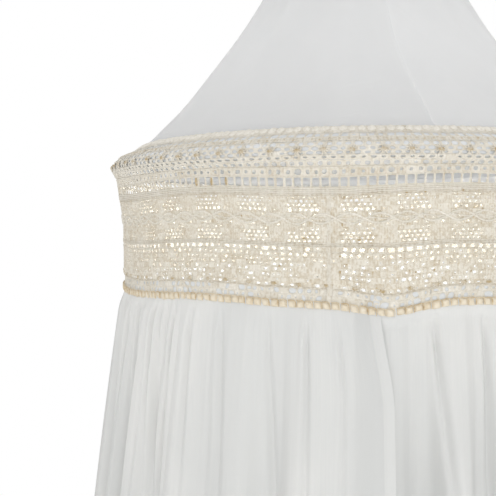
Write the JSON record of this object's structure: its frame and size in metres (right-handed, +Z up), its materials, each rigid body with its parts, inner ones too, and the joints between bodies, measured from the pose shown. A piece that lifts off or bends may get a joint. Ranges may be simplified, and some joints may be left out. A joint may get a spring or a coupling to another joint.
{
  "type": "lace bed canopy with its hoop",
  "caption": "Round bed canopy: a pointed voile crown over a wire hoop, a deep band of crochet lace and a long gathered voile drape with an overlapped front opening.",
  "frame": {"origin": "top of the hanging loop, on the canopy's axis", "axes": "+Z up along the canopy's axis, -Y towards the front, where the drape's two edges overlap"},
  "size_m": [0.9992, 0.9992, 2.4003],
  "materials": {
    "voile": "matt",
    "crochet": "matt",
    "cord": "matt",
    "tape": "matt",
    "wire": "satin"
  },
  "bodies": {
    "root": {"hoop": "wire", "crown_gore_1": "voile", "crown_gore_2": "voile", "crown_gore_3": "voile", "crown_gore_4": "voile", "neck_binding": "tape", "hanging_loop": "tape", "lace_upper": "crochet", "lace_middle": "crochet", "lace_lower": "crochet", "edge_cord": "cord", "drape": "voile"}
  },
  "joints": []
}
